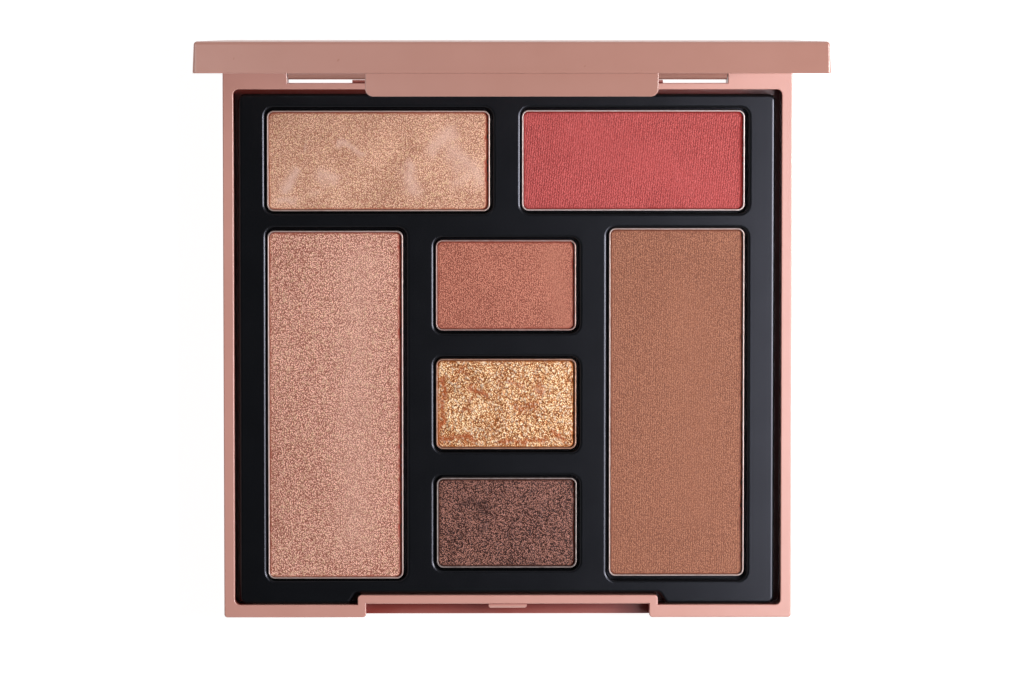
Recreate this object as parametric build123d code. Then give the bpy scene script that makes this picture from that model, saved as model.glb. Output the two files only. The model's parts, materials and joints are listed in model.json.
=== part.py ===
from build123d import *
import os

# Hinged makeup palette: a shallow tray with a black insert of seven pressed-powder
# pans, and a mirrored lid standing open at a right angle on its rear hinge.
# Millimetres. X to the right, Y to the rear, Z up.
# Origin: centre of the underside of the base.

# Case, outside
width = 110.0
depth = 106.4
base_height = 8.5
lid_height = 5.5
corner_radius = 0.6
edge_radius = 0.2
foot_edge_radius = 0.5
closing_gap = 0.05
inner_corner_radius = 1.0

# How far a cut runs past the face it opens, and how near counts as the same place
overshoot = 1.0
near = 0.001

# Base walls
floor_thickness = 1.8
side_wall = 2.05
front_wall = 2.45

# Finger notch in the front of the base, with the catch nub on its inner wall
notch_width = 55.0
notch_reach = 2.66
notch_wall = 1.65
notch_corner_radius = 0.75
notch_mouth_radius = 0.6
nub_width = 7.4
nub_reach = 0.85
nub_height = 0.9
nub_drop = 0.3
nub_chamfer = 0.3

# Hinge: the lid's barrel turns on two steel pins held in the base's rear corners
cheek_width = 12.5
hinge_radius = 1.05
hinge_wall = 1.2
hinge_front_gap = 0.7
hinge_end_gap = 0.12
rib_width = 60.0
rib_gap = 0.1
rib_drop = 1.0
pin_diameter = 1.0
pin_engagement = 6.0
pin_inset = 0.6
pin_end_gap = 0.4
pin_chamfer = 0.15
pin_running_gap = 0.03

# Lid
lid_top = 1.5
lid_wall = 2.2
lid_draft = 2.5
lid_edge_radius = 0.6
lid_front_skin = 0.7
relief_height = 1.5
open_angle = 90.0

# Lid frame with the latch tab, and the mirror behind it
frame_side_gap = 0.1
frame_setback = 0.35
frame_band = 3.0
frame_lip = 1.5
frame_window_radius = 1.2
frame_bevel = 0.6
mirror_thickness = 1.8
mirror_gap = 0.15
mirror_corner_radius = 2.0
adhesive_thickness = 0.25
adhesive_margin = 1.5
tab_side_gap = 2.2
tab_drop = 4.0
tab_corner_radius = 1.4
tab_edge_radius = 0.2
tab_gap = 0.05
tab_end_gap = 0.2

# Insert
insert_drop = 0.8
insert_side_gap = 1.1
insert_end_gap = 0.5
insert_slip = (-0.15, -0.4)
insert_wall = 1.2
insert_corner_radius = 1.3
insert_edge_radius = 0.6
step_run = 1.4
step_radius = 0.8
step_side_gap = 0.3
step_wall_gap = 0.35
well_wall = 1.0
well_floor = 0.8

# Layout of the wells in the insert
rear_border = 2.65
front_border = 4.6
rear_side_border = 5.1
rear_bar = 5.45
rear_well_depth = 20.36
row_bar = 2.8
tall_side_border = 5.3
tall_well_width = 27.15
column_bar = 5.35
column_inset = 1.95
centre_bar = 4.6

# Pans, the powder pressed into them, and the glue under them
well_gap = 0.47
pan_depth = 3.2
pan_metal = 0.28
pan_corner_radius = 1.3
pan_foot_radius = 0.6
pan_rim_radius = 0.1
pan_rim_drop = 0.1
powder_drop = 0.45
powder_gap = 0.03
powder_rear_gap = 0.12
powder_edge_radius = 0.25
glue_thickness = 0.3
glue_diameter = 6.0
glue_spacing = 20.0
pad_size = 7.0
pad_corner_radius = 1.75

# How far each pan was glued from the middle of its well, to the right and to the rear
pan_slips = {
    "rear_left": (-0.1, -0.1),
    "rear_right": (-0.3, 0.0),
    "tall_left": (-0.25, -0.15),
    "tall_right": (-0.1, 0.35),
    "centre_rear": (-0.2, 0.0),
    "centre_middle": (-0.15, 0.05),
    "centre_front": (-0.05, 0.0),
}

# How far each cake of powder has shrunk away from the right wall of its pan
powder_right_gaps = {
    "rear_left": 0.42,
    "rear_right": 0.42,
    "tall_left": 0.38,
    "tall_right": 0.18,
    "centre_rear": 0.26,
    "centre_middle": 0.26,
    "centre_front": 0.26,
}

# Blank label under the base
label_size = (58.0, 30.0)
label_y = 24.0
label_radius = 2.0
label_thickness = 0.15
label_recess = 0.25
label_margin = 0.4

# Faces that several pieces share
front_y = -depth / 2
rear_y = depth / 2
side_x = width / 2
tray_side_x = side_x - side_wall
tray_front_y = front_y + front_wall
recess_y = rear_y - 2 * hinge_radius - hinge_front_gap
tray_rear_y = recess_y - hinge_wall
recess_x = side_x - cheek_width
barrel_x = recess_x - hinge_end_gap
hinge_y = rear_y - hinge_radius
hinge_z = base_height - hinge_radius
notch_y = front_y + notch_reach
tab_width = notch_width - 2 * tab_side_gap
catch_wall_y = notch_y + notch_wall
lid_rim_z = base_height + closing_gap
lid_ceiling_z = lid_rim_z + lid_height - lid_top
cavity_size = (width - 2 * lid_wall, depth - 2 * lid_wall)
frame_size = (cavity_size[0] - 2 * frame_side_gap, cavity_size[1] - 2 * frame_side_gap)
frame_face_z = lid_rim_z + frame_setback
mirror_face_z = lid_ceiling_z - adhesive_thickness - mirror_thickness
insert_top_z = base_height - insert_drop
pan_rim_z = insert_top_z - pan_rim_drop
pan_foot_z = pan_rim_z - pan_depth
well_floor_z = pan_foot_z - glue_thickness
powder_z = pan_rim_z - powder_drop
insert_x = insert_slip[0]
insert_half_width = tray_side_x - insert_side_gap
insert_front_y = tray_front_y + insert_end_gap + insert_slip[1]
insert_rear_y = tray_rear_y - insert_end_gap + insert_slip[1]


def block(x_range, y_range, z_range):
    """A plain box between two values on each axis."""
    sizes = [high - low for low, high in (x_range, y_range, z_range)]
    centre = [(low + high) / 2 for low, high in (x_range, y_range, z_range)]
    return Pos(*centre) * Box(*sizes)


def slab(size, radius, z_range, centre=(0.0, 0.0)):
    """A flat plate with rounded upright corners."""
    outline = Pos(centre[0], centre[1], z_range[0]) * RectangleRounded(size[0], size[1], radius)
    return extrude(outline, z_range[1] - z_range[0])


def edges_at_height(shape, z):
    """The edges that lie flat at one height."""
    return shape.edges().filter_by_position(Axis.Z, z - near, z + near)


def rod(diameter, x_range, y, z):
    """A round bar along X."""
    bar = Cylinder(diameter / 2, x_range[1] - x_range[0])
    return Pos((x_range[0] + x_range[1]) / 2, y, z) * Rot(0, 90, 0) * bar


# ---------------------------------------------------------------- base

def tray_space():
    """The space inside the base's walls, less the notch wall that bulges into it."""
    size = (2 * tray_side_x, tray_rear_y - tray_front_y)
    centre = (0.0, (tray_rear_y + tray_front_y) / 2)
    space = slab(size, inner_corner_radius, (floor_thickness, base_height), centre)
    bulge_width = notch_width + 2 * notch_wall
    bulge_depth = 2 * (catch_wall_y - front_y)
    bulge = slab(
        (bulge_width, bulge_depth),
        notch_corner_radius,
        (floor_thickness, base_height),
        (0.0, front_y),
    )
    return space - bulge


def notch_space():
    """The finger notch, open to the front and the top, with rounded mouth corners."""
    half = notch_width / 2
    flare = notch_mouth_radius + near
    outline = Polyline(
        (-half - flare, front_y - flare),
        (-half - flare, front_y),
        (-half, front_y),
        (-half, notch_y),
        (half, notch_y),
        (half, front_y),
        (half + flare, front_y),
        (half + flare, front_y - flare),
        close=True,
    )
    face = make_face(outline)
    mouth = [
        v for v in face.vertices()
        if abs(abs(v.X) - half) < near / 2 and abs(v.Y - front_y) < near / 2
    ]
    face = fillet(mouth, notch_mouth_radius)
    return extrude(Pos(0, 0, floor_thickness) * face, base_height - floor_thickness)


def catch_nub():
    """The small bar on the notch's inner wall that the lid's tab snaps past."""
    top_z = base_height - nub_drop
    nub = block(
        (-nub_width / 2, nub_width / 2),
        (notch_y - nub_reach, notch_y),
        (top_z - nub_height, top_z),
    )
    outer = nub.faces().sort_by(Axis.Y)[0]
    return chamfer(outer.edges(), nub_chamfer)


def swing_round():
    """What is cut from the rear top edge so that the lid's rim can swing round it."""
    x_range = (-side_x - overshoot, side_x + overshoot)
    corner = block(x_range, (hinge_y, rear_y + overshoot), (hinge_z, base_height + overshoot))
    return corner - rod(2 * hinge_radius, x_range, hinge_y, hinge_z)


def base_shell():
    """Floor, walls, front notch, rear hinge recess and its cheeks, in one moulding."""
    body = slab((width, depth), corner_radius, (0.0, base_height))
    body = fillet(edges_at_height(body, 0.0), foot_edge_radius)
    body -= tray_space()
    body -= notch_space()
    body -= block(
        (-recess_x, recess_x),
        (recess_y, rear_y + overshoot),
        (-overshoot, base_height + overshoot),
    )
    body = fillet(edges_at_height(body, base_height), edge_radius)
    body += catch_nub()
    rib_y = hinge_y - hinge_radius - rib_gap
    body += block((-rib_width / 2, rib_width / 2), (recess_y, rib_y), (0.0, base_height - rib_drop))
    body -= swing_round()
    for side in (-1, 1):
        outer = side * (side_x + overshoot)
        inner = side * (recess_x - overshoot)
        body -= rod(pin_diameter, sorted((inner, outer)), hinge_y, hinge_z)
    recess = (label_size[0] + 2 * label_margin, label_size[1] + 2 * label_margin)
    return body - slab(recess, label_radius + label_margin, (-overshoot, label_recess), (0.0, label_y))


def base_label():
    """A blank sticker in its shallow recess under the base."""
    z_range = (label_recess - label_thickness, label_recess)
    return slab(label_size, label_radius, z_range, (0.0, label_y))


def hinge_pin(side):
    """A plain steel pin, pressed in a cheek and running in the barrel."""
    outer = side_x - pin_inset
    inner = barrel_x - pin_engagement
    pin = rod(pin_diameter, sorted((side * inner, side * outer)), hinge_y, hinge_z)
    return chamfer(pin.edges().filter_by(GeomType.CIRCLE), pin_chamfer)


# ---------------------------------------------------------------- insert and pans

def wells():
    """Each well's name, centre and size, worked out from the borders and bars."""
    front_y0 = insert_front_y + front_border
    rear_y1 = insert_rear_y - rear_border
    rear_centre_y = rear_y1 - rear_well_depth / 2
    rear_width = insert_half_width - rear_side_border - rear_bar / 2
    rear_x = rear_bar / 2 + rear_width / 2
    tall_y1 = rear_y1 - rear_well_depth - row_bar
    tall_depth = tall_y1 - front_y0
    tall_centre_y = (tall_y1 + front_y0) / 2
    tall_x = insert_half_width - tall_side_border - tall_well_width / 2
    centre_width = 2 * (tall_x - tall_well_width / 2 - column_bar)
    centre_depth = (tall_depth - 2 * column_inset - 2 * centre_bar) / 3
    pitch = centre_depth + centre_bar
    rear_size = (rear_width, rear_well_depth)
    tall_size = (tall_well_width, tall_depth)
    centre_size = (centre_width, centre_depth)
    return {
        "rear_left": ((insert_x - rear_x, rear_centre_y), rear_size),
        "rear_right": ((insert_x + rear_x, rear_centre_y), rear_size),
        "tall_left": ((insert_x - tall_x, tall_centre_y), tall_size),
        "tall_right": ((insert_x + tall_x, tall_centre_y), tall_size),
        "centre_rear": ((insert_x, tall_centre_y + pitch), centre_size),
        "centre_middle": ((insert_x, tall_centre_y), centre_size),
        "centre_front": ((insert_x, tall_centre_y - pitch), centre_size),
    }


def insert_outline(inward):
    """The insert's plan, stepped back round the finger notch, drawn in by a wall."""
    left = insert_x - insert_half_width + inward
    right = insert_x + insert_half_width - inward
    front = insert_front_y + inward
    rear = insert_rear_y - inward
    step_front = catch_wall_y + step_wall_gap + inward
    step_x = notch_width / 2 + notch_wall + step_side_gap + inward
    outline = Polyline(
        (left, front),
        (-step_x - step_run, front),
        (-step_x, step_front),
        (step_x, step_front),
        (step_x + step_run, front),
        (right, front),
        (right, rear),
        (left, rear),
        close=True,
    )
    face = make_face(outline)
    corners = [v for v in face.vertices() if min(abs(v.X - left), abs(v.X - right)) < near]
    face = fillet(corners, insert_corner_radius)
    steps = [
        v for v in face.vertices()
        if abs(v.X) < step_x + step_run + near and v.Y < step_front + near
    ]
    return fillet(steps, step_radius)


def pan_insert():
    """A thin moulded platform with seven wells, open underneath between them."""
    body = extrude(Pos(0, 0, floor_thickness) * insert_outline(0.0), insert_top_z - floor_thickness)
    core_height = insert_top_z - insert_wall - floor_thickness
    body -= extrude(Pos(0, 0, floor_thickness) * insert_outline(insert_wall), core_height)
    radius = pan_corner_radius + well_gap
    for centre, size in wells().values():
        outer = (size[0] + 2 * well_wall, size[1] + 2 * well_wall)
        z_range = (well_floor_z - well_floor, insert_top_z - insert_wall / 2)
        body += slab(outer, radius + well_wall, z_range, centre)
    for centre, size in wells().values():
        body -= slab(size, radius, (well_floor_z, insert_top_z + overshoot), centre)
    return fillet(edges_at_height(body, insert_top_z), insert_edge_radius)


def pan_place(name):
    """A pan's centre and outer size, from its well, its gap and how it was glued."""
    centre, size = wells()[name]
    slip = pan_slips[name]
    place = (centre[0] + slip[0], centre[1] + slip[1])
    return place, (size[0] - 2 * well_gap, size[1] - 2 * well_gap)


def pan(name):
    """A drawn tin pan with a thin rim."""
    centre, size = pan_place(name)
    body = slab(size, pan_corner_radius, (pan_foot_z, pan_rim_z), centre)
    body = fillet(edges_at_height(body, pan_foot_z), pan_foot_radius)
    inside = (size[0] - 2 * pan_metal, size[1] - 2 * pan_metal)
    hollow = slab(inside, pan_corner_radius - pan_metal, (pan_foot_z + pan_metal, pan_rim_z), centre)
    body -= hollow
    return fillet(edges_at_height(body, pan_rim_z), pan_rim_radius)


def powder(name):
    """The pressed cake that fills a pan to just under its rim, close to its left and front walls."""
    centre, size = pan_place(name)
    left = centre[0] - size[0] / 2 + pan_metal + powder_gap
    right = centre[0] + size[0] / 2 - pan_metal - powder_right_gaps[name]
    front = centre[1] - size[1] / 2 + pan_metal + powder_gap
    rear = centre[1] + size[1] / 2 - pan_metal - powder_rear_gap
    radius = pan_corner_radius - pan_metal - powder_gap
    middle = ((left + right) / 2, (front + rear) / 2)
    cake = slab((right - left, rear - front), radius, (pan_foot_z + pan_metal, powder_z), middle)
    return fillet(edges_at_height(cake, powder_z), powder_edge_radius)


def glue_spots(name):
    """Where the glue under one pan sits: one dot, or two along a tall pan."""
    x, y = pan_place(name)[0]
    if not name.startswith("tall"):
        return [(x, y)]
    return [(x, y - glue_spacing / 2), (x, y + glue_spacing / 2)]


def pan_glue_dots():
    """Flattened glue dots between the pans and the floors of their wells."""
    dots = []
    for name in pan_slips:
        for x, y in glue_spots(name):
            disc = Cylinder(glue_diameter / 2, glue_thickness)
            dots.append(Pos(x, y, well_floor_z + glue_thickness / 2) * disc)
    return Compound(children=dots)


def insert_glue_pads():
    """Glue pads that hold the insert down on the floor of the base."""
    pads = []
    for name in ("rear_left", "rear_right", "tall_left", "tall_right"):
        centre = wells()[name][0]
        z_range = (floor_thickness, well_floor_z - well_floor)
        pads.append(slab((pad_size, pad_size), pad_corner_radius, z_range, centre))
    return Compound(children=pads)


# ---------------------------------------------------------------- lid, built closed

def lid_barrel():
    """The hinge barrel, squared off upwards into the lid's rear wall, bored at both ends."""
    barrel = rod(2 * hinge_radius, (-barrel_x, barrel_x), hinge_y, hinge_z)
    y_range = (hinge_y - hinge_radius, hinge_y + hinge_radius)
    barrel += block((-barrel_x, barrel_x), y_range, (hinge_z, lid_rim_z))
    bore = pin_diameter + 2 * pin_running_gap
    depth_in = pin_engagement + pin_end_gap
    for side in (-1, 1):
        ends = sorted((side * (barrel_x - depth_in), side * (barrel_x + overshoot)))
        barrel -= rod(bore, ends, hinge_y, hinge_z)
    return barrel


def lid_shell():
    """The shallow cover with drafted sides, and the hinge barrel along its rear edge."""
    outline = Pos(0, 0, lid_rim_z) * RectangleRounded(width, depth, corner_radius)
    body = extrude(outline, lid_height, taper=lid_draft)
    body = fillet(edges_at_height(body, lid_rim_z + lid_height), lid_edge_radius)
    body = fillet(edges_at_height(body, lid_rim_z), edge_radius)
    body -= slab(cavity_size, inner_corner_radius, (lid_rim_z - overshoot, lid_ceiling_z))
    relief_x = tab_width / 2 + tab_end_gap
    body -= block(
        (-relief_x, relief_x),
        (front_y + lid_front_skin, front_y + lid_wall + overshoot),
        (lid_rim_z - overshoot, lid_rim_z + relief_height),
    )
    return body + lid_barrel()


def latch_tab():
    """The springy tab below the frame's front bar that snaps past the catch nub."""
    half = tab_width / 2
    outer_y = front_y + lid_front_skin + tab_gap
    inner_y = notch_y - nub_reach - tab_gap
    root_z = lid_rim_z + relief_height - tab_gap
    plate = block((-half, half), (outer_y, inner_y), (lid_rim_z - tab_drop, root_z))
    low_corners = plate.edges().filter_by(Axis.Y).group_by(Axis.Z)[0]
    plate = fillet(low_corners, tab_corner_radius)
    face_edges = plate.faces().sort_by(Axis.Y)[0].edges().sort_by(Axis.Z)
    plate = fillet(face_edges[:-1], tab_edge_radius)
    root = block((-half, half), (inner_y, -frame_size[1] / 2), (frame_face_z, root_z))
    return plate + root


def lid_frame():
    """The ring that holds the mirror in the lid, with the latch tab on its front bar."""
    body = slab(frame_size, inner_corner_radius - frame_side_gap, (frame_face_z, lid_ceiling_z))
    pocket = (frame_size[0] - 2 * frame_band, frame_size[1] - 2 * frame_band)
    body -= slab(pocket, mirror_corner_radius + mirror_gap, (mirror_face_z, lid_ceiling_z + overshoot))
    window = (pocket[0] - 2 * frame_lip, pocket[1] - 2 * frame_lip)
    body -= slab(window, frame_window_radius, (frame_face_z - overshoot, mirror_face_z))
    inner_edges = [
        e for e in edges_at_height(body, frame_face_z)
        if abs(e.center().X) < window[0] / 2 + near and abs(e.center().Y) < window[1] / 2 + near
    ]
    body = chamfer(inner_edges, frame_bevel)
    return body + latch_tab()


def mirror():
    """The mirror glass, face down in the closed lid."""
    band = 2 * (frame_band + mirror_gap)
    size = (frame_size[0] - band, frame_size[1] - band)
    return slab(size, mirror_corner_radius, (mirror_face_z, mirror_face_z + mirror_thickness))


def mirror_adhesive():
    """The adhesive sheet between the mirror and the lid."""
    band = 2 * (frame_band + mirror_gap + adhesive_margin)
    size = (frame_size[0] - band, frame_size[1] - band)
    return slab(size, mirror_corner_radius, (lid_ceiling_z - adhesive_thickness, lid_ceiling_z))


def opened(piece):
    """A lid piece turned from closed to standing open about the hinge."""
    return piece.rotate(Axis((0, hinge_y, hinge_z), (1, 0, 0)), -open_angle)


# ---------------------------------------------------------------- all the pieces

def all_pieces():
    """Every piece by the name of its node."""
    pieces = {
        "base_shell": base_shell(),
        "base_label": base_label(),
        "hinge_pin_left": hinge_pin(-1),
        "hinge_pin_right": hinge_pin(1),
        "pan_insert": pan_insert(),
        "insert_glue_pads": insert_glue_pads(),
        "pan_glue_dots": pan_glue_dots(),
        "lid_shell": opened(lid_shell()),
        "lid_frame": opened(lid_frame()),
        "mirror": opened(mirror()),
        "mirror_adhesive": opened(mirror_adhesive()),
    }
    for name in pan_slips:
        pieces["pan_" + name] = pan(name)
        pieces["powder_" + name] = powder(name)
    return pieces


os.makedirs("parts", exist_ok=True)
for node, shape in all_pieces().items():
    export_step(shape, "parts/" + node + ".step")
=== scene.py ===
"""Looks of the hinged makeup palette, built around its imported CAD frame. Metres; the CAD's own axes.

The shaders and the surfaces of the powders work in millimetres.
"""

import json

import bpy
import numpy as np
from mathutils import Matrix, Vector


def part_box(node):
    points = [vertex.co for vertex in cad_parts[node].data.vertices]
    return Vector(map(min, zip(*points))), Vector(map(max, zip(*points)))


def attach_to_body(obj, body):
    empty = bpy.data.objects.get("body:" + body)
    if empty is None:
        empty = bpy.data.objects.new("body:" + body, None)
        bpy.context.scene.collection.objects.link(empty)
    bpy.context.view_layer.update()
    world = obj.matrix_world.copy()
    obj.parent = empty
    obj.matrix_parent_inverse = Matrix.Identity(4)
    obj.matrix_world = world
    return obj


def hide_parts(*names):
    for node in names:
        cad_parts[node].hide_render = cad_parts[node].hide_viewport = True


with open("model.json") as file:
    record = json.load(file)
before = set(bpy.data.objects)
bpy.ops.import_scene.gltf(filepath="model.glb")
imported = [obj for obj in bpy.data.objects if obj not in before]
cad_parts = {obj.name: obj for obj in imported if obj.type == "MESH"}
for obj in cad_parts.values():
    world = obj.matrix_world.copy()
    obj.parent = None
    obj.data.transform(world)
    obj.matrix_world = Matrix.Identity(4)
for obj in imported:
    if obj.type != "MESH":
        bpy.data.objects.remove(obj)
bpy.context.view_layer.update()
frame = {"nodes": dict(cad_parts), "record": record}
nodes = frame["nodes"]
slots = {part["node"]: part["material_slot"] for part in frame["record"]["subparts"]}
scene = bpy.context.scene

MM = 0.001

# Plastics, in linear light: the pair of colours that each drifts between, the rose one's painted shade in
# its slots, how far its walls reach to cast it, in millimetres, and the tint of what the black one
# reflects
ROSE = ((0.465, 0.225, 0.18), (0.485, 0.238, 0.193))
ROSE_PAINTED_SHADE = (0.20, 0.022, 0.013)
PAINTED_SHADE_REACH = 7.0
BLACK = ((0.0012, 0.0015, 0.0018), (0.002, 0.0024, 0.003))
COOL = (0.87, 0.87, 1.0, 1.0)

# Other finishes, each one colour or the pair that it drifts between
TIN = (0.52, 0.44, 0.41)
SILVER = ((0.90, 0.92, 0.92), (0.95, 0.96, 0.96))
STEEL = ((0.50, 0.50, 0.51), (0.66, 0.66, 0.67))
GLUE = ((0.70, 0.66, 0.55), (0.82, 0.79, 0.70))
PAPER = ((0.80, 0.77, 0.74), (0.88, 0.86, 0.83))

# Shading of the powders: layers of flakes, turned in radians and narrowed so that no grid shows; the
# wavy print of the cloth, its scale and how far it wanders; and how the flakes turn into colour
FLAKE_TURN = 0.6
FLAKE_SLIM = 1.3
FINE_FLAKES = 1.7
FINE_SHARE = 0.3
GRAIN_MIDDLE = 0.41
RIB_SCALE = 0.72
RIB_WANDER = 4.0
COLOUR_SPAN = 0.5
GLINT_SHARE = 0.3
DARK_FLAKES = 0.8
# How strongly the painted shade along a cake's edge, where its pan's wall would shade it, shows
EDGE_SHADE_STRENGTH = 0.9

# Shape of the cakes of powder, in millimetres
CAKE_CORNER = 0.99
CAKE_EDGE = 0.2
EDGE_LINES = (0.0, 0.02, 0.06, 0.12, 0.19, 0.27)
RELIEF_FADE = 0.4
# Width of the painted shade along a cake's edge
EDGE_SHADE_WIDTH = 0.42
CHIP_SIZE = 1.1
CHIP_SHARE = 0.5
BITE_SIZE = 0.9
BITE_DEPTH = 0.3
BITE_REACH = 1.2
SMEAR_WANDER = 0.9
SMEAR_LUMPS = 3.0
SKIRT_DROP = 0.15
PAN_WALL = 0.3
# How much of the sides' painted red, which stands in for light scattered through shaded powder, the top's
# rim takes
RIM_SIDE = 0.15

# Each kind of noise on a cake starts this far from the cake's own seed
CHIP_SEED = 40
SMEAR_SEED = 60
BITE_SEED = 80

# Table of random values behind the noise on the cakes, and where on it the middle of a cake lies
TABLE_SIZE = 256
TABLE_START = 64.0

# Stage: a floor, half its width in metres, and its drop below the base in millimetres, so that their
# faces don't lie in one plane; and a sky whose light fades with height over a band
FLOOR_HALF = 3.0
FLOOR_DROP = 0.3
FLOOR_GREY = 0.5
FLOOR_GLOW = 0.91
SKY_BAND = (0.1, 0.85)
SKY_HORIZON = 0.55
SKY_ZENITH = 0.05
WHITE = (1.0, 1.0, 1.0)

# Softboxes, in metres and watts, and the one body that each lights, if not all
LIGHTS = {
    "key": {
        "place": (0.40, 0.045, 0.33), "aim": (0.0, 0.0, 0.0), "size": (0.15, 0.15),
        "power": 2.4, "colour": WHITE, "body": None,
    },
    "panel": {
        "place": (0.24, -0.03, 0.36), "aim": (0.24, -0.03, 0.0), "size": (0.28, 0.18),
        "power": 1.83, "colour": (0.92, 0.93, 1.0), "body": "base",
    },
    "top": {
        "place": (-0.25, 0.0, 0.60), "aim": (0.0, 0.05, 0.1), "size": (0.30, 0.30),
        "power": 1.2, "colour": WHITE, "body": "lid",
    },
}

# Camera: where it is and what it looks at, its lens, its sensor and what it sees, all in millimetres
CAMERA_PLACE = (-6.8, 61.2, 977.6)
CAMERA_AIM = (0.83, 0.47, 8.5)
CAMERA_LENS = 176.4
CAMERA_SENSOR = 36.0
CAMERA_CLIP = (10.0, 20000.0)

# The shader's sockets that take plain values
SOCKETS = {
    "metallic": "Metallic",
    "roughness": "Roughness",
    "specular": "Specular IOR Level",
    "specular_tint": "Specular Tint",
}


# ------------------------------------------------------------------ node helpers

def new_shader(name, **values):
    """A Principled material with plain values on the shader's own sockets, by their names in SOCKETS."""
    material = bpy.data.materials.new(name)
    material.use_nodes = True
    tree = material.node_tree
    shader = tree.nodes["Principled BSDF"]
    for key, value in values.items():
        shader.inputs[SOCKETS[key]].default_value = value
    return material, tree, shader


def attach(tree, socket, value):
    """Gives an input a plain value, or links another node's output to it."""
    if isinstance(value, bpy.types.NodeSocket):
        tree.links.new(value, socket)
    else:
        socket.default_value = value


def put(tree, kind, settings=None, **inputs):
    """Adds a node. Inputs are values or outputs, by socket name, or by number as i0, i1 and so on."""
    node = tree.nodes.new(kind)
    for key, value in (settings or {}).items():
        setattr(node, key, value)
    for key, value in inputs.items():
        numbered = key[0] == "i" and key[1:].isdigit()
        attach(tree, node.inputs[int(key[1:])] if numbered else node.inputs[key], value)
    return node


def millimetres(tree, stretch=(1.0, 1.0, 1.0)):
    """Object coordinates in millimetres, stretched along each axis."""
    coords = put(tree, "ShaderNodeTexCoord").outputs["Object"]
    mapping = put(tree, "ShaderNodeMapping", Vector=coords)
    mapping.inputs["Scale"].default_value = [share / MM for share in stretch]
    return mapping.outputs["Vector"]


def noise(tree, vector, scale, detail=2.0, rough=0.5):
    """Fractal noise, 0 to 1, with scale in features per millimetre."""
    node = put(tree, "ShaderNodeTexNoise", Vector=vector, Scale=scale, Detail=detail, Roughness=rough)
    return node.outputs["Fac"]


def remap(tree, value, low, high, to_low=0.0, to_high=1.0):
    """A value remapped and clamped from one range to another."""
    node = put(tree, "ShaderNodeMapRange", Value=value)
    for key, end in (("From Min", low), ("From Max", high), ("To Min", to_low), ("To Max", to_high)):
        attach(tree, node.inputs[key], end)
    return node.outputs["Result"]


def blend_colours(tree, factor, first, second):
    """Two colours mixed by a factor."""
    node = put(tree, "ShaderNodeMix", {"data_type": "RGBA"}, i0=factor)
    for socket, colour in ((node.inputs[6], first), (node.inputs[7], second)):
        attach(tree, socket, (*colour, 1.0) if isinstance(colour, tuple) else colour)
    return node.outputs[2]


def arithmetic(tree, operation, first, second):
    """One sum, product or the like of two values."""
    return put(tree, "ShaderNodeMath", {"operation": operation}, i0=first, i1=second).outputs[0]


def set_colour(tree, shader, colour):
    """Links the shader's colour."""
    tree.links.new(colour, shader.inputs["Base Color"])


def set_roughness(tree, shader, roughness):
    """Links the shader's roughness."""
    tree.links.new(roughness, shader.inputs["Roughness"])


def add_bump(tree, shader, height, strength, distance):
    """Bumps the shader's normal by a height, with distance in millimetres."""
    node = put(tree, "ShaderNodeBump", Height=height, Strength=strength, Distance=distance * MM)
    tree.links.new(node.outputs["Normal"], shader.inputs["Normal"])


# ------------------------------------------------------------------ materials of the case

def rose_plastic():
    """Satin moulded plastic: faint mottle, fine grain, uneven gloss, painted red shade in its slots."""
    material, tree, shader = new_shader("rose_plastic", roughness=0.3, specular=0.8)
    vector = millimetres(tree)
    mottle = noise(tree, vector, 0.12, 3.0)
    colour = blend_colours(tree, remap(tree, mottle, 0.3, 0.7), *ROSE)
    own_walls = {"samples": 16, "only_local": True}
    # Painted shade: where the part's own walls close round a point, its colour turns to a dark red
    open_sky = put(tree, "ShaderNodeAmbientOcclusion", own_walls, Distance=PAINTED_SHADE_REACH * MM).outputs["AO"]
    set_colour(tree, shader, blend_colours(tree, remap(tree, open_sky, 0.65, 0.97), ROSE_PAINTED_SHADE, colour))
    set_roughness(tree, shader, remap(tree, noise(tree, vector, 0.6, 4.0), 0.2, 0.8, 0.27, 0.32))
    add_bump(tree, shader, noise(tree, vector, 9.0), 0.12, 0.02)
    return material


def black_plastic():
    """Smooth black moulding with faint flow marks and a cool sheen."""
    material, tree, shader = new_shader("black_plastic", roughness=0.25, specular=0.41, specular_tint=COOL)
    vector = millimetres(tree)
    set_colour(tree, shader, blend_colours(tree, noise(tree, vector, 0.2, 3.0), *BLACK))
    set_roughness(tree, shader, remap(tree, noise(tree, vector, 0.15, 3.0), 0.2, 0.8, 0.24, 0.27))
    add_bump(tree, shader, noise(tree, vector, 1.5), 0.02, 0.01)
    return material


def pan_metal(name, powder):
    """Thin pressed tin under a film of the powder pressed into it."""
    material, tree, shader = new_shader(name, metallic=0.7, roughness=0.42)
    vector = millimetres(tree)
    film = powder["film"]
    dust = remap(tree, noise(tree, vector, 0.8, 4.0, 0.6), 0.3, 0.75, film - 0.2, film + 0.15)
    powdery = blend_colours(tree, noise(tree, vector, 2.0), powder["dark"], powder["mid"])
    set_colour(tree, shader, blend_colours(tree, dust, TIN, powdery))
    set_roughness(tree, shader, remap(tree, noise(tree, vector, 3.0, 3.0), 0.2, 0.8, 0.36, 0.5))
    add_bump(tree, shader, noise(tree, vector, 4.0), 0.1, 0.02)
    return material


def mirror_glass():
    """Silvered glass with the faintest haze."""
    material, tree, shader = new_shader("mirror_glass", metallic=1.0, roughness=0.02)
    haze = noise(tree, millimetres(tree), 0.05, 3.0)
    set_colour(tree, shader, blend_colours(tree, haze, *SILVER))
    set_roughness(tree, shader, remap(tree, haze, 0.3, 0.8, 0.01, 0.035))
    return material


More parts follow.
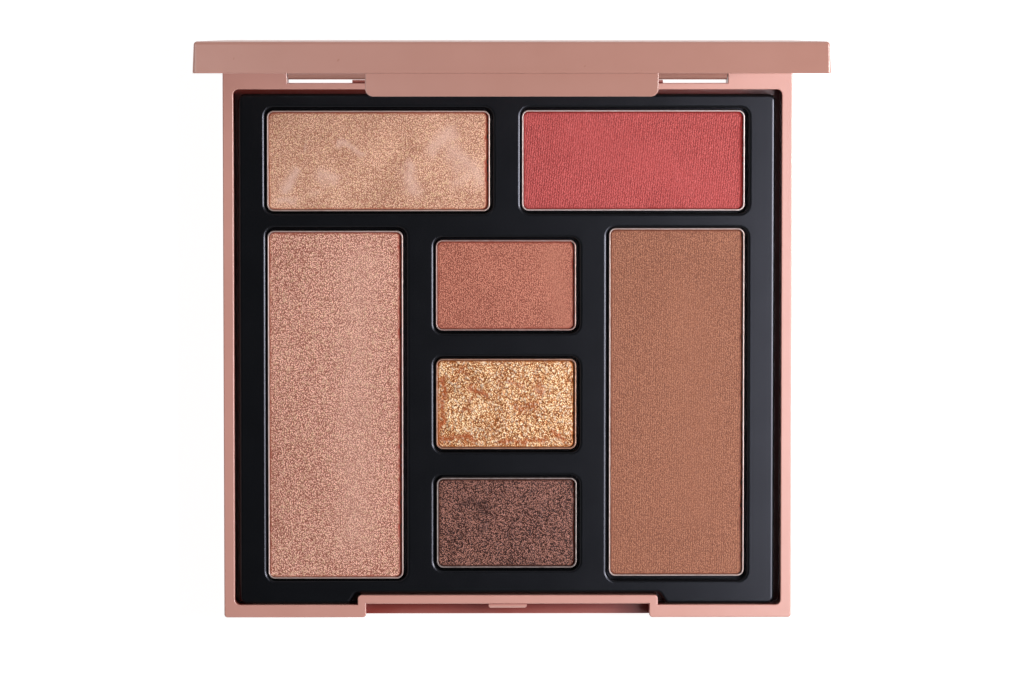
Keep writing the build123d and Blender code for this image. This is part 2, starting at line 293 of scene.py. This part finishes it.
def pin_steel():
    """Drawn steel wire, with fine lines along it."""
    material, tree, shader = new_shader("pin_steel", metallic=1.0, roughness=0.3)
    lines = noise(tree, millimetres(tree, (0.2, 4.0, 4.0)), 3.0, 3.0)
    set_colour(tree, shader, blend_colours(tree, lines, *STEEL))
    set_roughness(tree, shader, remap(tree, lines, 0.2, 0.8, 0.22, 0.4))
    return material


def cured_glue():
    """Cloudy cured glue."""
    material, tree, shader = new_shader("glue", roughness=0.45)
    set_colour(tree, shader, blend_colours(tree, noise(tree, millimetres(tree), 0.7, 4.0), *GLUE))
    return material


def label_paper():
    """A blank coated-paper sticker."""
    material, tree, shader = new_shader("label_paper", roughness=0.55)
    fibre = noise(tree, millimetres(tree), 2.5, 5.0, 0.6)
    set_colour(tree, shader, blend_colours(tree, fibre, *PAPER))
    add_bump(tree, shader, fibre, 0.15, 0.02)
    return material


# ------------------------------------------------------------------ materials of the powders

def flakes(tree, vector, scale):
    """One flake per cell, bright in its middle: its shine, and two random values of its own."""
    turned = put(tree, "ShaderNodeMapping", Vector=vector)
    turned.inputs["Rotation"].default_value[2] = FLAKE_TURN
    turned.inputs["Scale"].default_value[0] = FLAKE_SLIM
    flat = {"voronoi_dimensions": "2D"}
    place = turned.outputs["Vector"]
    cells = put(tree, "ShaderNodeTexVoronoi", flat, Vector=place, Scale=scale, Randomness=0.9)
    own = put(tree, "ShaderNodeSeparateColor", Color=cells.outputs["Color"])
    middle = remap(tree, cells.outputs["Distance"], 0.1, 0.6, 1.0, 0.0)
    shine = arithmetic(tree, "MULTIPLY", middle, remap(tree, own.outputs["Red"], 0.0, 1.0, 0.5, 1.3))
    return shine, own.outputs["Green"], own.outputs["Blue"]


def cloth_ribs(tree, vector, lean):
    """The print of the pressing cloth: fine, nearly upright, broken ribs."""
    turned = put(tree, "ShaderNodeMapping", Vector=vector)
    turned.inputs["Rotation"].default_value[2] = lean
    place = turned.outputs["Vector"]
    wave = put(tree, "ShaderNodeTexWave", Vector=place, Scale=RIB_SCALE, Distortion=RIB_WANDER, Detail=1.0)
    wave.inputs["Detail Scale"].default_value = 2.5
    return wave.outputs["Fac"]


def mesh_value(tree, label):
    """A value that the mesh carries at each of its points."""
    return put(tree, "ShaderNodeAttribute", {"attribute_name": label}).outputs["Fac"]


def powder_body(tree, vector, look, grain, ribs, hue):
    """Colour of the unworn powder, from dark through middle to light, with glinting and dark flakes."""
    clouds = noise(tree, vector, look["cloud_scale"], 3.0, 0.55)
    level = arithmetic(tree, "MULTIPLY", grain, look["contrast"])
    for part, weight in ((ribs, look["ribs"]), (clouds, look["clouds"])):
        level = arithmetic(tree, "ADD", level, arithmetic(tree, "MULTIPLY", part, weight))
    middle = GRAIN_MIDDLE * look["contrast"] + (look["ribs"] + look["clouds"]) / 2.0
    to_middle = remap(tree, level, middle - COLOUR_SPAN, middle)
    to_light = remap(tree, level, middle, middle + COLOUR_SPAN)
    body = blend_colours(tree, to_middle, look["dark"], look["mid"])
    body = blend_colours(tree, to_light, body, look["light"])
    glinting = remap(tree, hue, 1.0 - GLINT_SHARE, 1.0, 0.0, look["glints"])
    darkened = remap(tree, hue, 0.0, GLINT_SHARE, look["glints"] * DARK_FLAKES, 0.0)
    body = blend_colours(tree, glinting, body, look["glint"])
    return blend_colours(tree, darkened, body, look["edge"])


def powder_wear(tree, vector, look, grain, body):
    """Body colour under its smears, painted shade at its edge, and painted red light on its crumbled
    sides.
    """
    ragged = remap(tree, noise(tree, vector, 1.6, 4.0, 0.65), 0.3, 0.65, 0.7, 1.0)
    smeared = arithmetic(tree, "MULTIPLY", mesh_value(tree, "tint"), ragged)
    smeared = arithmetic(tree, "MULTIPLY", smeared, remap(tree, grain, 0.0, 0.5, 0.75, 1.0))
    # Painted shade: darker along the cake's edge, where the wall of its pan would shade it
    edge_shade = arithmetic(tree, "MULTIPLY", mesh_value(tree, "edge"), EDGE_SHADE_STRENGTH)
    body = blend_colours(tree, smeared, body, look["smudge"])
    body = blend_colours(tree, edge_shade, body, look["edge"])
    # Painted light: the crumbled sides and the top's rim take a saturated red that stands in for light
    # scattered through shaded powder
    return blend_colours(tree, mesh_value(tree, "side"), body, look["side"])


def powder_material(name, look):
    """Pressed powder: flakes, the print of the cloth, clouds and wear."""
    rough = look["rough"]
    material, tree, shader = new_shader(name, metallic=look["metal"], roughness=rough, specular=0.3)
    vector = millimetres(tree)
    coarse, hue, gloss = flakes(tree, vector, look["flakes"])
    fine = flakes(tree, vector, look["flakes"] * FINE_FLAKES)[0]
    grain = put(tree, "ShaderNodeMix", Factor=FINE_SHARE, A=coarse, B=fine).outputs["Result"]
    ribs = cloth_ribs(tree, vector, look["lean"])
    body = powder_body(tree, vector, look, grain, ribs, hue)
    set_colour(tree, shader, powder_wear(tree, vector, look, grain, body))
    set_roughness(tree, shader, remap(tree, gloss, 0.0, 1.0, rough + 0.1, rough - 0.1))
    height = arithmetic(tree, "ADD", grain, arithmetic(tree, "MULTIPLY", ribs, 2.0 * look["ribs"]))
    add_bump(tree, shader, height, look["bump"], 0.04)
    return material


# ------------------------------------------------------------------ surfaces of the powders

def lattice(x, y, cell, seed):
    """Smooth random values between -1 and 1 on a square lattice, at points x, y."""
    table = np.random.default_rng(seed).random((TABLE_SIZE, TABLE_SIZE)) * 2.0 - 1.0
    u = x / cell + TABLE_START
    v = y / cell + TABLE_START
    i = np.floor(u).astype(int)
    j = np.floor(v).astype(int)
    across = (u - i) ** 2 * (3.0 - 2.0 * (u - i))
    along = (v - j) ** 2 * (3.0 - 2.0 * (v - j))
    i %= TABLE_SIZE - 1
    j %= TABLE_SIZE - 1
    low = table[i, j] * (1.0 - across) + table[i + 1, j] * across
    high = table[i, j + 1] * (1.0 - across) + table[i + 1, j + 1] * across
    return low * (1.0 - along) + high * along


def layered(x, y, cell, seed, layers=3):
    """Several sizes of lattice noise added up."""
    total = np.zeros_like(x)
    for layer in range(layers):
        total += lattice(x, y, cell / 2.0 ** layer, seed + layer) / 2.0 ** layer
    return total


def smooth_press(x, y, seed):
    """Relief of a cake pressed nearly flat."""
    return 0.012 * layered(x, y, 6.0, seed) + 0.004 * layered(x, y, 0.9, seed + 9)


def streaked_press(x, y, seed):
    """Relief with faint upright streaks left by the press."""
    return 0.008 * layered(x, y * 0.15, 0.7, seed + 7) + smooth_press(x, y, seed)


def flaky_press(x, y, seed):
    """Relief of coarse flakes."""
    return 0.03 * layered(x, y, 0.5, seed + 8, 2) + 0.03 * layered(x, y, 3.0, seed)


def stroke(x, y, start, end, width):
    """A soft smear from start to end: 1 on its line, nearly 0 beyond its width."""
    dx, dy = end[0] - start[0], end[1] - start[1]
    along = np.clip(((x - start[0]) * dx + (y - start[1]) * dy) / (dx * dx + dy * dy), 0.0, 1.0)
    away = np.hypot(x - start[0] - along * dx, y - start[1] - along * dy)
    return np.exp(-((away / width) ** 2) * 2.0)


def smears(x, y, strokes, seed):
    """All strokes of a cake together, made ragged by noise."""
    wobble_x = x + SMEAR_WANDER * layered(x, y, SMEAR_LUMPS, seed)
    wobble_y = y + SMEAR_WANDER * layered(x, y, SMEAR_LUMPS, seed + 20)
    total = np.zeros_like(x)
    for start, end, width, strength in strokes:
        total = np.maximum(total, strength * stroke(wobble_x, wobble_y, start, end, width))
    return total


def grid_lines(half, pitch):
    """Grid lines across a cake, closer together where its edge rounds off."""
    inner = half - EDGE_LINES[-1]
    middle = np.linspace(-inner, inner, max(2, int(round(2.0 * inner / pitch))) + 1)
    left = [-half + line for line in EDGE_LINES[:-1]]
    return np.concatenate([left, middle, [-value for value in reversed(left)]])


def round_corners(x, y, half_x, half_y, radius):
    """Pulls the square corners of a grid in to round ones."""
    over_x = np.maximum(np.abs(x) - (half_x - radius), 0.0)
    over_y = np.maximum(np.abs(y) - (half_y - radius), 0.0)
    reach = np.hypot(over_x, over_y)
    scale = np.where(reach > 0.0, np.maximum(over_x, over_y) / np.maximum(reach, 1e-9), 1.0)
    new_x = np.sign(x) * (np.minimum(np.abs(x), half_x - radius) + over_x * scale)
    new_y = np.sign(y) * (np.minimum(np.abs(y), half_y - radius) + over_y * scale)
    return new_x, new_y


def edge_distance(x, y, half_x, half_y, radius):
    """How far inside the rounded outline each point lies."""
    past_x = np.abs(x) - (half_x - radius)
    past_y = np.abs(y) - (half_y - radius)
    outside = np.hypot(np.maximum(past_x, 0.0), np.maximum(past_y, 0.0))
    return np.maximum(radius - outside - np.minimum(np.maximum(past_x, past_y), 0.0), 0.0)


def cake_plan(look, half_x, half_y):
    """Plan of a cake's surface, with bites out of its right edge, and how far in each point lies."""
    lines = [grid_lines(half, look["pitch"]) for half in (half_x, half_y)]
    x, y = round_corners(*np.meshgrid(*lines, indexing="ij"), half_x, half_y, CAKE_CORNER)
    inside = edge_distance(x, y, half_x, half_y, CAKE_CORNER)
    bites = np.clip(layered(np.zeros_like(x), y, BITE_SIZE, look["seed"] + BITE_SEED), 0.0, 1.0)
    x = x - BITE_DEPTH * bites * np.clip((x - half_x) / BITE_REACH + 1.0, 0.0, 1.0)
    return x, y, inside


def cake_surface(look, x, y, inside):
    """A cake's surface height over its flat top, how smeared it is, and its painted shade along the edge.
    """
    seed = look["seed"]
    chips = 1.0 + CHIP_SHARE * layered(x, y, CHIP_SIZE, seed + CHIP_SEED)
    fall = np.clip(1.0 - inside / (CAKE_EDGE * chips), 0.0, 1.0)
    height = look["relief"](x, y, seed) * np.clip(inside / RELIEF_FADE, 0.0, 1.0)
    height -= CAKE_EDGE * (1.0 - np.sqrt(np.maximum(1.0 - fall ** 2, 0.0)))
    smeared = smears(x, y, look["strokes"], seed + SMEAR_SEED)
    # Painted shade along the edge, where the pan's wall would shade the powder
    edge_shade = np.clip(1.0 - inside / (EDGE_SHADE_WIDTH * chips), 0.0, 1.0)
    return height, smeared, edge_shade


def box_in_mm(node):
    """The low and high corners of a CAD node, in millimetres."""
    return [np.array(corner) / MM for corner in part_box(node)]


def skirt_points(node, rim):
    """Where the crumbled sides of a cake meet the walls of its pan, one point for each of its rim."""
    low, high = box_in_mm(node)
    pan_low, pan_high = box_in_mm(node.replace("powder", "pan"))
    skirt = rim.copy()
    for axis in (0, 1):
        near = pan_low[axis] + PAN_WALL
        far = pan_high[axis] - PAN_WALL
        skirt[:, axis] = near + (rim[:, axis] - low[axis]) / (high[axis] - low[axis]) * (far - near)
    skirt[:, 2] = high[2] - CAKE_EDGE - SKIRT_DROP
    return skirt


def ring_faces(upper, lower):
    """Faces between two rings of points, one above the other."""
    return np.stack([np.roll(upper, -1), upper, lower, np.roll(lower, -1)], -1).tolist()


def cake_mesh(node, look):
    """Closed mesh of a cake, with its smear, painted edge shade and painted side light at each point."""
    low, high = box_in_mm(node)
    centre = (low + high) / 2.0
    x, y, inside = cake_plan(look, *(high - low)[:2] / 2.0)
    height, smeared, edge_shade = cake_surface(look, x, y, inside)
    top = np.stack([x + centre[0], y + centre[1], high[2] + height], -1).reshape(-1, 3)
    index = np.arange(x.size).reshape(x.shape)
    rim = np.concatenate([index[:, 0], index[-1, 1:], index[-2::-1, -1], index[0, -2:0:-1]])
    skirt = skirt_points(node, top[rim])
    foot = skirt.copy()
    foot[:, 2] = low[2]
    skirt_index = x.size + np.arange(len(rim))
    foot_index = skirt_index + len(rim)
    quads = np.stack([index[:-1, :-1], index[1:, :-1], index[1:, 1:], index[:-1, 1:]], -1)
    top_faces = quads.reshape(-1, 4).tolist()
    slopes = ring_faces(rim, skirt_index)
    sides = ring_faces(skirt_index, foot_index)
    faces = top_faces + slopes + sides + [foot_index[::-1].tolist()]
    mesh = bpy.data.meshes.new(node + "_cake")
    mesh.from_pydata((np.concatenate([top, skirt, foot]) * MM).tolist(), [], faces)
    side = np.zeros(x.size)
    # The top's rim takes a little of the sides' painted red light
    side[rim] = RIM_SIDE
    for label, values, below in (("tint", smeared, 0.0), ("edge", edge_shade, 1.0), ("side", side, 1.0)):
        values = np.concatenate([values.reshape(-1), np.full(2 * len(rim), below)])
        mesh.attributes.new(label, "FLOAT", "POINT").data.foreach_set("value", values)
    smooth = [True] * len(top_faces) + [False] * (len(faces) - len(top_faces))
    mesh.polygons.foreach_set("use_smooth", smooth)
    mesh.update()
    return mesh


def cake(node, look):
    """A cake of pressed powder with its surface as geometry, standing for its CAD node."""
    mesh = cake_mesh(node, look)
    piece = bpy.data.objects.new(node + "_cake", mesh)
    scene.collection.objects.link(piece)
    mesh.materials.append(powder_material(node, look))
    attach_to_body(piece, "base")
    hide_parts(node)
    return piece


# Each powder: its colours, in linear light; "film", how much of it covers its pan; "flakes" and
# "cloud_scale", in features per millimetre; "contrast", "ribs", "clouds" and "glints", how strongly each
# shows; "lean", the turn of the cloth's ribs, in radians; "metal", "rough" and "bump", for its shader;
# "pitch", the spacing of its grid, in millimetres; its seed; its relief; and its smears, each a start, an
# end, a width and a strength, in millimetres from the middle of the cake.
# Of its colours, "edge" is painted shade along the cake's edge, also given to its dark flakes, and "side"
# is
# the crumbled sides' own powder pushed to a saturated red, as painted light scattered through shaded
# powder.
POWDERS = {
    "powder_rear_left": {
        "dark": (0.210, 0.080, 0.046), "mid": (0.462, 0.236, 0.151), "light": (0.902, 0.576, 0.416),
        "smudge": (0.603, 0.382, 0.303), "edge": (0.346, 0.093, 0.049), "glint": (0.725, 0.502, 0.276),
        "side": (0.560, 0.084, 0.042), "film": 0.45,
        "flakes": 3.4, "contrast": 1.25, "ribs": 0.12, "clouds": 0.8, "cloud_scale": 0.12, "glints": 0.45,
        "lean": 0.02, "metal": 0.2, "rough": 0.5, "bump": 0.3, "pitch": 0.22, "seed": 11,
        "relief": smooth_press,
        "strokes": [
            ((-18.0, -5.5), (-15.5, -2.5), 1.3, 0.95),
            ((-18.5, -8.0), (-16.8, -7.6), 1.1, 0.8),
            ((-12.5, -5.6), (-12.0, -5.4), 0.9, 0.4),
            ((-10.5, -2.2), (-8.5, -3.0), 1.8, 0.7),
            ((-8.0, 3.8), (-2.5, 1.2), 0.8, 0.75),
            ((-14.3, 3.4), (-14.4, 2.0), 0.5, 0.6),
            ((5.8, -1.4), (7.0, -6.0), 1.5, 0.8),
            ((10.5, 2.5), (14.5, 5.5), 2.2, 0.75),
            ((14.5, 2.0), (19.5, -3.5), 2.6, 0.7),
            ((15.0, -4.0), (19.5, -3.0), 1.8, 0.5),
        ],
    },
    "powder_rear_right": {
        "dark": (0.151, 0.017, 0.016), "mid": (0.327, 0.047, 0.043), "light": (0.550, 0.108, 0.100),
        "smudge": (0.384, 0.062, 0.059), "edge": (0.196, 0.013, 0.010), "glint": (0.426, 0.086, 0.080),
        "side": (0.595, 0.042, 0.035), "film": 0.2,
        "flakes": 3.4, "contrast": 0.9, "ribs": 0.65, "clouds": 0.3, "cloud_scale": 0.1, "glints": 0.2,
        "lean": 0.1, "metal": 0.0, "rough": 0.75, "bump": 0.35, "pitch": 0.22, "seed": 23,
        "relief": smooth_press,
        "strokes": [((-10.0, 5.0), (16.0, -6.0), 6.0, 0.3)],
    },
    "powder_tall_left": {
        "dark": (0.182, 0.052, 0.031), "mid": (0.456, 0.199, 0.141), "light": (0.949, 0.563, 0.438),
        "smudge": (0.608, 0.354, 0.270), "edge": (0.310, 0.075, 0.044), "glint": (0.715, 0.502, 0.302),
        "side": (0.560, 0.084, 0.049), "film": 0.35,
        "flakes": 3.2, "contrast": 1.95, "ribs": 0.2, "clouds": 0.3, "cloud_scale": 0.06, "glints": 0.45,
        "lean": 0.03, "metal": 0.25, "rough": 0.48, "bump": 0.35, "pitch": 0.25, "seed": 37,
        "relief": streaked_press,
        "strokes": [((5.0, 28.0), (3.5, -25.0), 6.5, 0.35)],
    },
    "powder_tall_right": {
        "dark": (0.126, 0.040, 0.021), "mid": (0.245, 0.089, 0.049), "light": (0.394, 0.169, 0.096),
        "smudge": (0.265, 0.100, 0.055), "edge": (0.153, 0.044, 0.023), "glint": (0.305, 0.110, 0.066),
        "side": (0.5, 0.12, 0.06), "film": 0.4,
        "flakes": 3.4, "contrast": 1.45, "ribs": 0.45, "clouds": 0.25, "cloud_scale": 0.05, "glints": 0.3,
        "lean": 0.02, "metal": 0.0, "rough": 0.72, "bump": 0.3, "pitch": 0.25, "seed": 41,
        "relief": streaked_press,
        "strokes": [((3.0, 20.0), (4.0, -20.0), 7.0, 0.4)],
    },
    "powder_centre_rear": {
        "dark": (0.154, 0.037, 0.021), "mid": (0.325, 0.098, 0.060), "light": (0.566, 0.216, 0.143),
        "smudge": (0.378, 0.136, 0.085), "edge": (0.225, 0.043, 0.024), "glint": (0.433, 0.171, 0.104),
        "side": (0.6, 0.1, 0.06), "film": 0.6,
        "flakes": 3.4, "contrast": 1.85, "ribs": 0.35, "clouds": 0.4, "cloud_scale": 0.12, "glints": 0.4,
        "lean": 0.02, "metal": 0.08, "rough": 0.58, "bump": 0.3, "pitch": 0.22, "seed": 53,
        "relief": smooth_press,
        "strokes": [((9.0, 6.0), (11.0, -6.0), 4.0, 0.6)],
    },
    "powder_centre_middle": {
        "dark": (0.136, 0.033, 0.008), "mid": (0.448, 0.168, 0.048), "light": (0.917, 0.666, 0.373),
        "smudge": (0.292, 0.055, 0.009), "edge": (0.343, 0.094, 0.016), "glint": (0.855, 0.704, 0.517),
        "side": (0.6, 0.16, 0.03), "film": 0.75,
        "flakes": 2.8, "contrast": 1.6, "ribs": 0.0, "clouds": 0.9, "cloud_scale": 0.35, "glints": 0.6,
        "lean": 0.0, "metal": 0.4, "rough": 0.42, "bump": 0.7, "pitch": 0.14, "seed": 67,
        "relief": flaky_press,
        "strokes": [
            ((-7.3, 4.0), (-3.6, 1.5), 0.75, 1.0),
            ((-6.2, 1.8), (-7.2, 0.6), 0.4, 0.8),
            ((-7.8, -0.7), (-6.4, -1.2), 0.8, 1.0),
            ((0.5, 4.0), (3.5, 4.2), 0.6, 0.75),
            ((5.9, 4.2), (6.3, 1.5), 0.9, 0.85),
            ((2.0, -0.2), (5.5, -0.6), 1.2, 0.6),
            ((-12.3, 4.6), (-12.3, -5.0), 0.8, 1.0),
            ((-11.8, -6.6), (-6.0, -6.4), 0.9, 0.95),
            ((-1.4, -7.2), (7.0, -6.6), 0.8, 0.85),
            ((8.6, -5.4), (11.5, -7.4), 0.8, 0.9),
            ((-9.8, 6.2), (-8.0, 5.8), 0.6, 0.6),
        ],
    },
    "powder_centre_front": {
        "dark": (0.008, 0.0015, 0.001), "mid": (0.055, 0.014, 0.009), "light": (0.376, 0.163, 0.115),
        "smudge": (0.020, 0.004, 0.003), "edge": (0.053, 0.011, 0.005), "glint": (0.320, 0.136, 0.104),
        "side": (0.25, 0.05, 0.03), "film": 0.6,
        "flakes": 3.2, "contrast": 2.9, "ribs": 0.0, "clouds": 0.7, "cloud_scale": 0.2, "glints": 0.55,
        "lean": 0.0, "metal": 0.3, "rough": 0.45, "bump": 0.5, "pitch": 0.18, "seed": 79,
        "relief": flaky_press,
        "strokes": [
            ((-7.5, 4.5), (-3.5, 3.0), 1.6, 0.55),
            ((-5.0, -1.5), (-4.0, -0.5), 1.4, 0.45),
            ((0.5, -1.5), (1.5, 1.0), 1.0, 0.35),
        ],
    },
}


# ------------------------------------------------------------------ dress the CAD pieces

def dress_case():
    """Gives every carried-over CAD node its finish: a pan its own, and the rest by record slot."""
    finishes = {
        "rose_plastic": rose_plastic(),
        "black_plastic": black_plastic(),
        "mirror_glass": mirror_glass(),
        "pin_steel": pin_steel(),
        "glue": cured_glue(),
        "label_paper": label_paper(),
    }
    for powder, look in POWDERS.items():
        pan = powder.replace("powder", "pan")
        finishes[pan] = pan_metal(pan, look)
    for name, node in nodes.items():
        if name in POWDERS:
            continue
        finish = finishes[name if name in finishes else slots[name]]
        for index in range(len(node.data.materials)):
            node.data.materials[index] = finish


# ------------------------------------------------------------------ stage, light and camera

def studio_floor():
    """A plain pale floor that stays near white."""
    drop = -FLOOR_DROP * MM
    corners = [(-1.0, -1.0), (1.0, -1.0), (1.0, 1.0), (-1.0, 1.0)]
    mesh = bpy.data.meshes.new("floor")
    mesh.from_pydata([(FLOOR_HALF * x, FLOOR_HALF * y, drop) for x, y in corners], [], [(0, 1, 2, 3)])
    floor = bpy.data.objects.new("floor", mesh)
    scene.collection.objects.link(floor)
    material, tree, shader = new_shader("floor_paper", roughness=0.9, specular=0.1)
    shader.inputs["Base Color"].default_value = (FLOOR_GREY, FLOOR_GREY, FLOOR_GREY, 1.0)
    shader.inputs["Emission Color"].default_value = (*WHITE, 1.0)
    shader.inputs["Emission Strength"].default_value = FLOOR_GLOW
    mesh.materials.append(material)


def soft_light(name, place, aim, size, power, colour, body):
    """An oblong softbox, out of sight of the camera, lighting one body or everything."""
    data = bpy.data.lights.new(name, "AREA")
    data.shape = "RECTANGLE"
    data.size, data.size_y = size
    data.energy = power
    data.color = colour
    lamp = bpy.data.objects.new(name, data)
    lamp.location = place
    lamp.rotation_euler = (Vector(aim) - Vector(place)).to_track_quat("-Z", "Y").to_euler()
    lamp.visible_camera = False
    scene.collection.objects.link(lamp)
    if body:
        light_only(lamp, body)


def light_only(lamp, body):
    """Keeps a softbox's light on the pieces of one body, as a flag beside it would."""
    lit = bpy.data.collections.new(lamp.name + "_lit")
    for name in frame["record"]["behaviour"]["bodies"][body]:
        lit.objects.link(nodes[name])
        if name in cakes:
            lit.objects.link(cakes[name])
    lamp.light_linking.receiver_collection = lit


def studio_world():
    """Dim overhead and brighter towards the horizon, as in a white studio with a dark ceiling."""
    world = bpy.data.worlds.new("studio")
    world.use_nodes = True
    tree = world.node_tree
    background = tree.nodes["Background"]
    direction = put(tree, "ShaderNodeTexCoord").outputs["Generated"]
    up = put(tree, "ShaderNodeSeparateXYZ", Vector=direction).outputs["Z"]
    level = remap(tree, up, *SKY_BAND, SKY_HORIZON, SKY_ZENITH)
    seen = put(tree, "ShaderNodeLightPath").outputs["Is Camera Ray"]
    tree.links.new(remap(tree, seen, 0.0, 1.0, level, 1.0), background.inputs["Strength"])
    background.inputs["Color"].default_value = (*WHITE, 1.0)
    scene.world = world


def studio_camera():
    """Looks down on the base from straight above the open lid, rear edge up."""
    place = Vector(CAMERA_PLACE) * MM
    aim = Vector(CAMERA_AIM) * MM
    forward = (aim - place).normalized()
    right = forward.cross(Vector((0.0, 1.0, 0.0))).normalized()
    up = right.cross(forward)
    data = bpy.data.cameras.new("camera")
    data.lens = CAMERA_LENS
    data.sensor_width = CAMERA_SENSOR
    data.clip_start, data.clip_end = [distance * MM for distance in CAMERA_CLIP]
    camera = bpy.data.objects.new("camera", data)
    turn = Matrix((right, up, -forward)).transposed()
    camera.matrix_world = Matrix.Translation(place) @ turn.to_4x4()
    scene.collection.objects.link(camera)
    scene.camera = camera


dress_case()
cakes = {name: cake(name, look) for name, look in POWDERS.items()}
studio_floor()
studio_world()
for name, light in LIGHTS.items():
    soft_light(name, **light)
studio_camera()
scene.view_settings.view_transform = "Standard"
